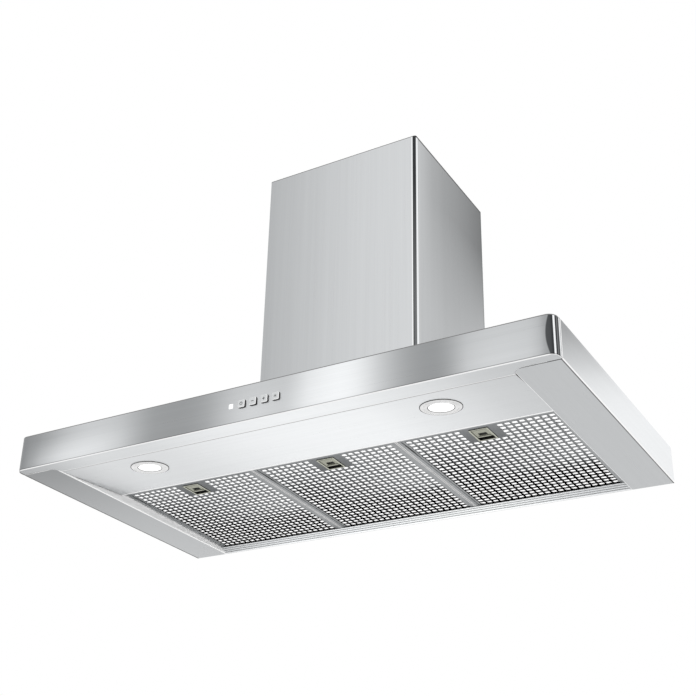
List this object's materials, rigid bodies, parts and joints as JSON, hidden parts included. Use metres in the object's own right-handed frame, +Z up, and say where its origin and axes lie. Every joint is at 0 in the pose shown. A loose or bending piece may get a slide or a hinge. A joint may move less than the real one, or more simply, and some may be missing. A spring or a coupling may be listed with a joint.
{
  "type": "range hood",
  "caption": "Wall-mounted stainless range hood: slim box canopy, telescoping box chimney, push buttons, downlights, perforated hinged grease filters and an inner blower.",
  "frame": {"origin": "centre of the canopy's plan at the height of its underside; the wall is the plane y = 0.246 m", "axes": "+X to the right as the cook sees it, +Y from the front towards the wall, +Z up"},
  "size_m": [0.898, 0.495, 0.589],
  "materials": {
    "brushed_steel_body": "horizontally brushed stainless steel with crisp bright folds",
    "galvanised_steel": "plain galvanised sheet, hidden when hung",
    "chrome_ring": "satin chrome lamp ring",
    "lamp_glass": "frosted lamp lens, lit",
    "lamp_housing": "die-cast lamp body",
    "button_plastic": "satin silver push button",
    "indicator_white": "white light guide",
    "circuit_board": "green board",
    "dark_plastic": "black moulded plastic",
    "driver_case": "white moulded case",
    "capacitor_can": "drawn can",
    "filter_aluminium": "bright rolled aluminium, punched",
    "filter_mesh": "packed expanded aluminium mesh",
    "filter_back": "punched grid",
    "latch_plastic": "warm grey moulded cup",
    "latch_slider": "warm grey moulded slider",
    "scroll_plastic": "grey moulded plastic",
    "wheel_plastic": "black moulded plastic",
    "motor_case": "grey painted motor case",
    "bright_steel": "zinc-plated steel"
  },
  "bodies": {
    "hood": {"front_panel": "brushed_steel_body", "left_side_panel": "brushed_steel_body", "right_side_panel": "brushed_steel_body", "light_panel": "brushed_steel_body", "rear_rail": "brushed_steel_body", "lower_chimney": "brushed_steel_body", "rear_panel": "galvanised_steel", "top_cover": "galvanised_steel", "hanger_plates": "galvanised_steel", "blower_box": "galvanised_steel", "lamp_ring_left": "chrome_ring", "lamp_ring_right": "chrome_ring", "lamp_lens_left": "lamp_glass", "lamp_lens_right": "lamp_glass", "lamp_body_left": "lamp_housing", "lamp_body_right": "lamp_housing", "indicator_lens": "indicator_white", "control_board": "circuit_board", "control_housing": "dark_plastic", "terminal_box": "dark_plastic", "cable_gland": "dark_plastic", "lamp_driver": "driver_case", "capacitor": "capacitor_can", "blower_scroll": "scroll_plastic", "duct_collar": "scroll_plastic", "motor": "motor_case", "motor_bracket": "motor_case", "flap_rod": "bright_steel", "box_screws": "bright_steel", "collar_screws": "bright_steel"},
    "button_1": {"push_button_1": "button_plastic"},
    "button_2": {"push_button_2": "button_plastic"},
    "button_3": {"push_button_3": "button_plastic"},
    "button_4": {"push_button_4": "button_plastic"},
    "filter_left": {"filter_frame_left": "filter_aluminium", "filter_sheet_left": "filter_aluminium", "filter_mesh_left": "filter_mesh", "filter_back_left": "filter_back", "latch_cup_left": "latch_plastic"},
    "latch_left": {"latch_slider_left": "latch_slider"},
    "filter_centre": {"filter_frame_centre": "filter_aluminium", "filter_sheet_centre": "filter_aluminium", "filter_mesh_centre": "filter_mesh", "filter_back_centre": "filter_back", "latch_cup_centre": "latch_plastic"},
    "latch_centre": {"latch_slider_centre": "latch_slider"},
    "filter_right": {"filter_frame_right": "filter_aluminium", "filter_sheet_right": "filter_aluminium", "filter_mesh_right": "filter_mesh", "filter_back_right": "filter_back", "latch_cup_right": "latch_plastic"},
    "latch_right": {"latch_slider_right": "latch_slider"},
    "chimney_extension": {"upper_chimney": "brushed_steel_body", "chimney_bracket": "galvanised_steel"},
    "fan": {"impeller": "wheel_plastic", "motor_shaft": "bright_steel"},
    "rear_flap": {"rear_flap": "wheel_plastic"},
    "front_flap": {"front_flap": "wheel_plastic"}
  },
  "joints": [
    {"name": "button_1_push", "type": "slide", "parent": "hood", "child": "button_1", "axis": [0, 1, 0], "range_m": [0, 0.0022], "stiffness_N_per_m": 200, "springref_m": -0.002},
    {"name": "button_2_push", "type": "slide", "parent": "hood", "child": "button_2", "axis": [0, 1, 0], "range_m": [0, 0.0022], "stiffness_N_per_m": 200, "springref_m": -0.002},
    {"name": "button_3_push", "type": "slide", "parent": "hood", "child": "button_3", "axis": [0, 1, 0], "range_m": [0, 0.0022], "stiffness_N_per_m": 200, "springref_m": -0.002},
    {"name": "button_4_push", "type": "slide", "parent": "hood", "child": "button_4", "axis": [0, 1, 0], "range_m": [0, 0.0022], "stiffness_N_per_m": 200, "springref_m": -0.002},
    {"name": "filter_left_swing", "type": "hinge", "parent": "hood", "child": "filter_left", "pos_m": [0, 0.227, 0.0066], "axis": [1, 0, 0], "range_deg": [0, 60]},
    {"name": "latch_left_pull", "type": "slide", "parent": "filter_left", "child": "latch_left", "axis": [0, 0.9998, -0.0208], "range_m": [0, 0.006], "stiffness_N_per_m": 300, "springref_m": -0.004},
    {"name": "filter_centre_swing", "type": "hinge", "parent": "hood", "child": "filter_centre", "pos_m": [0, 0.227, 0.0066], "axis": [1, 0, 0], "range_deg": [0, 60]},
    {"name": "latch_centre_pull", "type": "slide", "parent": "filter_centre", "child": "latch_centre", "axis": [0, 0.9998, -0.0208], "range_m": [0, 0.006], "stiffness_N_per_m": 300, "springref_m": -0.004},
    {"name": "filter_right_swing", "type": "hinge", "parent": "hood", "child": "filter_right", "pos_m": [0, 0.227, 0.0066], "axis": [1, 0, 0], "range_deg": [0, 60]},
    {"name": "latch_right_pull", "type": "slide", "parent": "filter_right", "child": "latch_right", "axis": [0, 0.9998, -0.0208], "range_m": [0, 0.006], "stiffness_N_per_m": 300, "springref_m": -0.004},
    {"name": "chimney_extend", "type": "slide", "parent": "hood", "child": "chimney_extension", "axis": [0, 0, 1], "range_m": [0, 0.33]},
    {"name": "fan_spin", "type": "hinge", "parent": "hood", "child": "fan", "pos_m": [0, 0.081, 0.166], "axis": [1, 0, 0], "continuous": true},
    {"name": "rear_flap_swing", "type": "hinge", "parent": "hood", "child": "rear_flap", "pos_m": [0, 0.134, 0.352], "axis": [1, 0, 0], "range_deg": [0, 80]},
    {"name": "front_flap_swing", "type": "hinge", "parent": "hood", "child": "front_flap", "pos_m": [0, 0.134, 0.352], "axis": [1, 0, 0], "range_deg": [-80, 0]}
  ]
}
